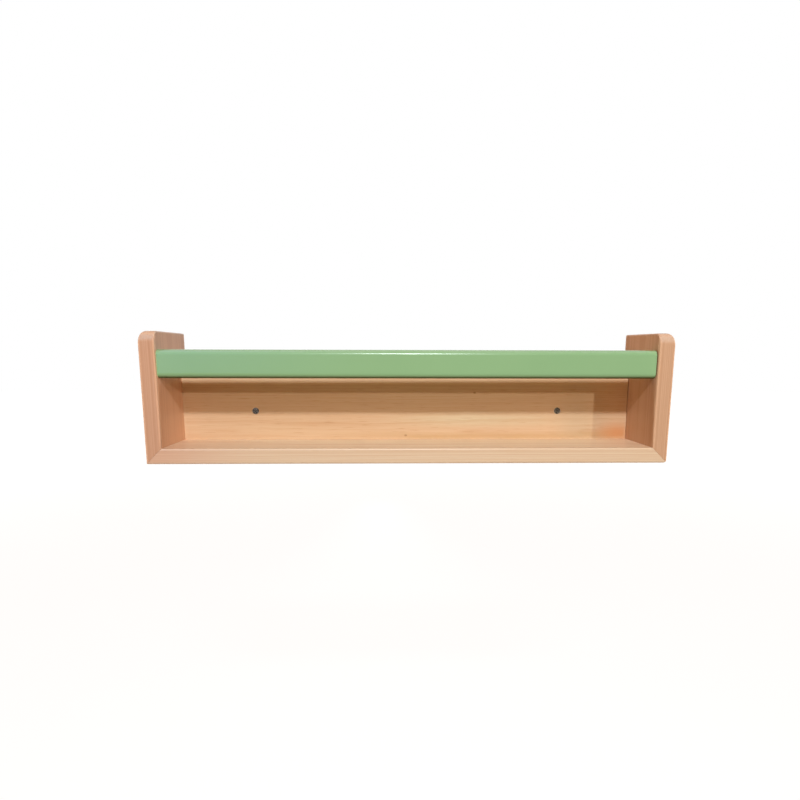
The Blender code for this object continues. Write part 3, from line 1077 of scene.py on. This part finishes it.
def edge_rows(fall):
    """Rows of (across, y, z) from the mitre up the front, round the corner and back to the wall."""
    section = edge_section(FRONT_OUTER_RADIUS)
    rows = [[(across, FRONT + depth, UNDERSIDE + MITRE_SHIFT + across) for across, depth in section]]
    for angle in quarter_arc(CORNER_STEPS):
        radius = FRONT_OUTER_RADIUS + (TOP_OUTER_RADIUS - FRONT_OUTER_RADIUS) * angle / QUARTER
        row = []
        for across, depth in edge_section(radius):
            reach = CORNER_RADIUS - depth
            y = FRONT + CORNER_RADIUS - reach * math.cos(angle)
            row.append((across, y, SIDE_TOP - fall - CORNER_RADIUS + reach * math.sin(angle)))
        rows.append(row)
    rows.append([(across, WALL, SIDE_TOP - depth) for across, depth in edge_section(TOP_OUTER_RADIUS)])
    return rows


print(len(edge_section(TOP_OUTER_RADIUS)), "points across the edge,", CORNER_STEPS, "steps round its corner")

# %% Make the sides
TOP_FALL = {-1: 0.0008, 1: 0.0018}
FOOT_RADIUS = {1: 0.0050, -1: 0.0015}


def side_shape(hand):
    """A side board, left for hand -1 and right for hand 1."""
    shape = bmesh.new()

    def corner(across, y, z):
        return shape.verts.new((hand * (HALF_WIDTH - across), y, z))

    rows = [[corner(*point) for point in row] for row in edge_rows(TOP_FALL[hand])]
    for low, high in zip(rows, rows[1:]):
        for index in range(len(low) - 1):
            shape.faces.new((low[index], low[index + 1], high[index + 1], high[index]))
    inner_heel = corner(THICKNESS, WALL, UNDERSIDE + MITRE_SHIFT + THICKNESS)
    outer_heel = corner(0.0, WALL, UNDERSIDE + MITRE_SHIFT)
    shape.faces.new([row[0] for row in rows] + [outer_heel])
    shape.faces.new([row[-1] for row in rows] + [inner_heel])
    shape.faces.new(rows[-1] + [inner_heel, outer_heel])
    shape.faces.new(rows[0] + [inner_heel, outer_heel])
    return shape


def skinned(near, far):
    """A closed solid between two matching loops of points."""
    shape = bmesh.new()
    near_loop = [shape.verts.new(point) for point in near]
    far_loop = [shape.verts.new(point) for point in far]
    shape.faces.new(near_loop)
    shape.faces.new(far_loop[::-1])
    for index, point in enumerate(near_loop):
        shape.faces.new((near_loop[index - 1], point, far_loop[index], far_loop[index - 1]))
    return shape


def rounded_envelope():
    """A block as wide as the case whose two lower long corners are rounded."""
    outline = [(-HALF_WIDTH, SIDE_TOP + THICKNESS), (HALF_WIDTH, SIDE_TOP + THICKNESS)]
    for hand, radius in FOOT_RADIUS.items():
        foot = [(hand * (HALF_WIDTH - across), UNDERSIDE + up) for across, up in rounding(radius)]
        outline += foot if hand > 0 else foot[::-1]
    near = [(x, FRONT - THICKNESS, z) for x, z in outline]
    far = [(x, WALL + THICKNESS, z) for x, z in outline]
    return skinned(near, far)


for label, hand in HANDS.items():
    shape = ease_edges(combined(side_shape(hand), rounded_envelope(), 'INTERSECT'))
    holes = dowel_holes(f"mitre_dowel_{label}", f"rail_dowel_{label}", f"back_dowel_{label}")
    shape = combined(shape, holes, 'DIFFERENCE')
    finished_piece(
        f"{label}_side_board", shape, side_finish[label], "side_wood", f"{label}_side", grain=(0, 0, 1),
    )

# %% [markdown]
# ## Shelf and back panel
#
# Both are plain boards with their grain along X. A rounded outline is run from end to end. The ends
# of the shelf follow the mitres. The panel meets the left side, and its right end leans away from
# the other one towards the top, where a thin dark line shows. Its two bores are countersunk, so that
# the screw heads sit just below its face. It stands right on the shelf, glued, so no groove shows
# along its foot.

# %% Outlines and ends of the long boards
PANEL_SHORT = 0.0009


def rounded_outline(low, high, radii):
    """A YZ rectangle whose corners are rounded: front foot, back foot, back top, front top."""
    corners = (
        (low.y, low.z, 1, 1), (high.y, low.z, -1, 1), (high.y, high.z, -1, -1), (low.y, high.z, 1, -1),
    )
    points = []
    for quarter, (y, z, inward_y, inward_z) in enumerate(corners):
        radius = radii[quarter]
        for angle in quarter_arc(EDGE_STEPS) if radius else [0]:
            turn = math.pi + QUARTER * quarter + angle
            across = radius * (inward_y + math.cos(turn)) if radius else 0
            up = radius * (inward_z + math.sin(turn)) if radius else 0
            points.append((y + across, z + up))
    return points


def board_along_x(outline, left_end, right_end):
    """Run a YZ outline from end to end; each end is a function that gives its x at each height."""
    left = [(left_end(z), y, z) for y, z in outline]
    right = [(right_end(z), y, z) for y, z in outline]
    return skinned(left, right)


def mitred_end(hand):
    """The slanting end of the shelf, left for hand -1 and right for hand 1."""
    return lambda z: hand * (HALF_WIDTH - MITRE_SHIFT - (z - UNDERSIDE))


def panel_end(z):
    """The right end of the panel, which leans away from the side towards the top."""
    return INNER_HALF - PANEL_SHORT * (z - SHELF_TOP) / (back_high.z - SHELF_TOP)


print(f"the panel's right end leans away by {1000 * PANEL_SHORT} mm")

# %% Make the shelf and the back panel
BACK_TOP_RADIUS = 0.003
SCREW_HEAD = 0.008
SCREW_SHANK = 0.004
SCREW_SINK = 0.0005
HEAD_RIM = 0.0004
SCREW_ROOM = 0.0003

screw_spots = {}
for label in HANDS:
    low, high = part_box(f"wall_screw_{label}")
    screw_spots[label] = Vector(((low.x + high.x) / 2, low.y, (low.z + high.z) / 2))


def screw_bores():
    """Cutters for the clearance bores and their countersinks."""
    cutter = bmesh.new()
    head = SCREW_HEAD / 2 + SCREW_ROOM
    bore = SCREW_SHANK / 2 + SCREW_ROOM
    deep = -(back_high.y - back_low.y) - SCREW_ROOM
    profile = [(0, deep), (bore, deep), (bore, -HEAD_RIM - (head - bore)), (head, -HEAD_RIM)]
    profile += [(head, SCREW_SINK + SCREW_ROOM), (0, SCREW_SINK + SCREW_ROOM)]
    for spot in screw_spots.values():
        turned(cutter, profile, spot, (0, -1, 0))
    return cutter


shelf_outline = rounded_outline(shelf_low, shelf_high, (FRONT_OUTER_RADIUS, 0, 0, INNER_RADIUS))
shape = board_along_x(shelf_outline, mitred_end(-1), mitred_end(1))
shape = ease_edges(combined(shape, rounded_envelope(), 'INTERSECT'))
shape = combined(shape, dowel_holes("mitre_dowel", "shelf_dowel"), 'DIFFERENCE')
finished_piece("shelf_board", shape, shelf_finish, "shelf_wood", "bottom_shelf", grain=(1, 0, 0))

back_foot = Vector((back_low.x, back_low.y, SHELF_TOP))
back_outline = rounded_outline(back_foot, back_high, (0, 0, 0, BACK_TOP_RADIUS))
shape = board_along_x(back_outline, lambda z: -INNER_HALF - ARRIS, panel_end)
shape = ease_edges(shape, above=back_low.z)
shape = combined(shape, dowel_holes("back_dowel", "shelf_dowel"), 'DIFFERENCE')
shape = combined(shape, screw_bores(), 'DIFFERENCE')
finished_piece("back_board", shape, back_finish, "back_wood", "back_panel", grain=(1, 0, 0))

# %% [markdown]
# ## The green rail
#
# The rail is a bar whose long edges are rounded by 6 mm, apart from the back top edge, which is
# rounded less and less towards the right: the strip of light that passes over it onto the panel
# narrows that way. It sits between the sides, a hair to the left, with a thin dark line at its right
# end. A plain sweep would keep one outline, so the outlines of the two ends are joined instead, and
# a Bevel on the rims of the end faces then makes the eased ends.

# %% Make the rail
RAIL_RADIUS = 0.006
RIGHT_BACK_TOP = 0.003
RAIL_END_RADIUS = 0.0015
RAIL_END_STEPS = 6
RAIL_SHIFT = -0.0005


def rail_end(x, back_top):
    """The rail's outline at one end."""
    radii = (RAIL_RADIUS, RAIL_RADIUS, back_top, RAIL_RADIUS)
    return [(x + RAIL_SHIFT, y, z) for y, z in rounded_outline(rail_low, rail_high, radii)]


def rail_shape():
    left = rail_end(rail_low.x, RAIL_RADIUS)
    shape = skinned(left, rail_end(rail_high.x, RIGHT_BACK_TOP))
    ends = [face for face in shape.faces if len(face.verts) == len(left)]
    rims = [edge for face in ends for edge in face.edges]
    return round_off(shape, rims, RAIL_END_RADIUS, RAIL_END_STEPS)


shape = combined(rail_shape(), dowel_holes("rail_dowel"), 'DIFFERENCE')
finished_piece("green_rail", shape, rail_finish, "green_paint", "front_rail")

# %% [markdown]
# ## Screws and dowels from Geometry Nodes
#
# A screw and a fluted dowel are both round bars whose radius follows a rule: a thread winds round
# the one, grooves run along the other. So both trees start from the same idea. A flat grid is
# rolled up into a tube, its radius is computed at each point, and the seam and the ends are merged
# shut. The tree then sets a copy on each point of a small host mesh, turned along the direction
# stored on that point, and makes the copies real.

# %% Roll a grid into a bar
SEAM = 1e-6


def sized_tree(name, sizes):
    """A Geometry Nodes tree that is given points, named sizes and a finish."""
    inputs = {"Points": "Geometry", **dict.fromkeys(sizes, "Float"), "Finish": "Material"}
    return new_group(name, "GeometryNodeTree", inputs, {"Geometry": "Geometry"})


def combine_axes(x, y, z):
    """A place from its X, Y and Z."""
    return add_node("ShaderNodeCombineXYZ", {"X": x, "Y": y, "Z": z})


def roll_up(tree, around, rows, radius_at):
    """Roll a grid into a closed bar about Z. radius_at(turn, run) gives the radius and the height."""
    grid = new_node(tree, "GeometryNodeMeshGrid", {
        "Size X": 1.0, "Size Y": 1.0, "Vertices X": around + 1, "Vertices Y": rows,
    })
    u, v, _ = axes(signals(tree.nodes.new("GeometryNodeInputPosition"))["Position"]).values()
    turn = u + 0.5
    radius, height = radius_at(turn, v + 0.5)
    angle = turn * (2 * math.pi)
    rolled = combine_axes(radius * maths('COSINE', angle), radius * maths('SINE', angle), height)
    feeds = {"Geometry": signals(grid)["Mesh"], "Position": rolled}
    tube = add_node("GeometryNodeSetPosition", feeds)
    return add_node("GeometryNodeMergeByDistance", {"Geometry": tube, "Distance": SEAM})


print("bars are closed where points are nearer than", SEAM, "m")

# %% Grow copies on points
def stored(tree, name, kind):
    """A value that is stored on each point."""
    node = new_node(tree, "GeometryNodeInputNamedAttribute", {"Name": name}, data_type=kind)
    return Signal(node.outputs[0])


def copies_on_points(given, shape, result):
    """Set the shape on every point, along and stretched as the point says, and make it real."""
    along = stored(shape.tree, "along", 'FLOAT_VECTOR')
    aim = add_node("FunctionNodeAlignRotationToVector", {"Vector": along}, axis='Z')
    scale = combine_axes(1.0, 1.0, stored(shape.tree, "stretch", 'FLOAT'))
    copies = add_node("GeometryNodeInstanceOnPoints", {
        "Points": given["Points"], "Instance": shape, "Rotation": aim, "Scale": scale,
    })
    real = add_node("GeometryNodeRealizeInstances", {0: copies})
    feeds = {"Geometry": real, "Material": given["Finish"]}
    feed(result, {"Geometry": add_node("GeometryNodeSetMaterial", feeds)})


def grown_piece(name, tree, spots, sizes, slot, *nodes):
    """Run a tree on points with directions, and keep what it makes as one plain piece."""
    mesh = bpy.data.meshes.new(name)
    mesh.from_pydata([spot for spot, _, _ in spots], [], [])
    mesh.attributes.new("along", 'FLOAT_VECTOR', 'POINT')
    mesh.attributes.new("stretch", 'FLOAT', 'POINT')
    for index, (_, along, stretch) in enumerate(spots):
        mesh.attributes["along"].data[index].vector = along
        mesh.attributes["stretch"].data[index].value = stretch
    piece = put_in_scene(name, mesh)
    grower = piece.modifiers.new(name, 'NODES')
    grower.node_group = tree
    for socket in tree.interface.items_tree:
        if socket.in_out == 'INPUT' and socket.name in sizes:
            grower[socket.identifier] = sizes[socket.name]
    made = plain_mesh(piece)
    smoothed(made)
    kept_piece(piece, made, nodes)


print("each point gives its copy a direction and a stretch")

# %% [markdown]
# ## The wall screws
#
# Two countersunk wood screws go through the panel into the wall. Only their heads show from the
# front; from behind, the thread stands out. Along the bar the radius is the larger of the cone
# under the head and the threaded core, and the thread is a ridge that climbs one pitch per turn.
# The cross recess is cut out of the head with two crossed bars.

# %% Grow the screws
SCREW_ROWS = 200
SCREW_AROUND = 32


def build_screw_tree(sizes):
    tree, given, result = sized_tree("wall_screw", sizes)

    def threaded(turn, run):
        # The last row lies on the one before it, but has no radius, and so closes the head.
        last_row = SCREW_ROWS - 1
        share = clamped(run * (last_row / (last_row - 1)))
        depth = (1.0 - share) * given["Length"]
        taper = clamped((given["Length"] - depth) / given["Tip"])
        phase = maths('FRACT', depth / given["Pitch"] + turn)
        ridge = clamped(1.0 - abs(phase * 2.0 - 1.0) * 2.0)
        started = clamped((depth - given["Plain"]) / given["Pitch"])
        core = ridge * started * taper * given["Thread Depth"] + given["Core"] * 0.5 * taper
        below_rim = maths('MAXIMUM', depth - given["Rim"], 0.0)
        radius = maths('MAXIMUM', core, given["Head"] * 0.5 - below_rim)
        not_last = maths('LESS_THAN', run, 1 - 0.5 / last_row)
        return radius * not_last, depth * -1.0

    screw = roll_up(tree, SCREW_AROUND, SCREW_ROWS, threaded)
    deep = given["Recess"] * 2.0
    cross = new_node(tree, "GeometryNodeMeshBoolean", {}, operation='UNION', solver='EXACT')
    for wide, narrow in (("Span", "Slot"), ("Slot", "Span")):
        size = combine_axes(given[wide], given[narrow], deep)
        feed(cross, {"Mesh 2": add_node("GeometryNodeMeshCube", {"Size": size})})
    cut = add_node("GeometryNodeMeshBoolean", {
        "Mesh 1": screw, "Mesh 2": Signal(cross.outputs[0]),
    }, operation='DIFFERENCE', solver='EXACT')
    copies_on_points(given, cut, result)
    return tree


low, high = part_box("wall_screw_left")
screw_sizes = {
    "Length": high.y - low.y, "Head": SCREW_HEAD, "Rim": HEAD_RIM, "Core": 0.0028, "Thread Depth": 0.0006,
    "Pitch": 0.0018, "Plain": 0.012, "Tip": 0.006, "Span": 0.0046, "Slot": 0.0011, "Recess": 0.0016,
}
grown_piece(
    "wall_screws", build_screw_tree(screw_sizes), [(spot, (0, -1, 0), 1.0) for spot in screw_spots.values()],
    {**screw_sizes, "Finish": screw_finish}, "dark_steel", "wall_screw_left", "wall_screw_right",
)

# %% [markdown]
# ## The dowels
#
# Fifteen beech dowels hold the case together inside its joints. They don't show, but they are real
# parts: 6 mm thick, chamfered at both ends, with flutes that let the glue out. The same rolled-up
# grid makes one, and each point stretches its copy to the length of that dowel.

# %% Grow the dowels
DOWEL_ROWS = 33
DOWEL_AROUND = 48
DOWEL_LENGTH = 0.030


def build_dowel_tree(sizes):
    tree, given, result = sized_tree("fluted_dowel", sizes)

    def fluted(turn, run):
        # The first row and the last one have no radius and close the two ends.
        last_row = DOWEL_ROWS - 1
        share = clamped(run * (last_row / (last_row - 2)) - 1 / (last_row - 2))
        height = (share - 0.5) * given["Length"]
        from_end = given["Length"] * 0.5 - abs(height)
        chamfer = maths('MAXIMUM', given["Chamfer"] - from_end, 0.0)
        wave = maths('COSINE', turn * (given["Flutes"] * (2 * math.pi)))
        groove = maths('MAXIMUM', wave, 0.0) * given["Flute Depth"]
        radius = given["Diameter"] * 0.5 - chamfer - groove
        inner_rows = maths('LESS_THAN', abs(run - 0.5), 0.5 - 0.5 / last_row)
        return radius * inner_rows, height

    copies_on_points(given, roll_up(tree, DOWEL_AROUND, DOWEL_ROWS, fluted), result)
    return tree


dowel_sizes = {
    "Length": DOWEL_LENGTH, "Diameter": DOWEL_DIAMETER, "Chamfer": DOWEL_CHAMFER,
    "Flutes": 12.0, "Flute Depth": 0.0003,
}
grown_piece(
    "fluted_dowels", build_dowel_tree(dowel_sizes),
    [(spot, along, length / DOWEL_LENGTH) for spot, along, length in dowels.values()],
    {**dowel_sizes, "Finish": dowel_finish}, "dowel_beech", *dowels,
)
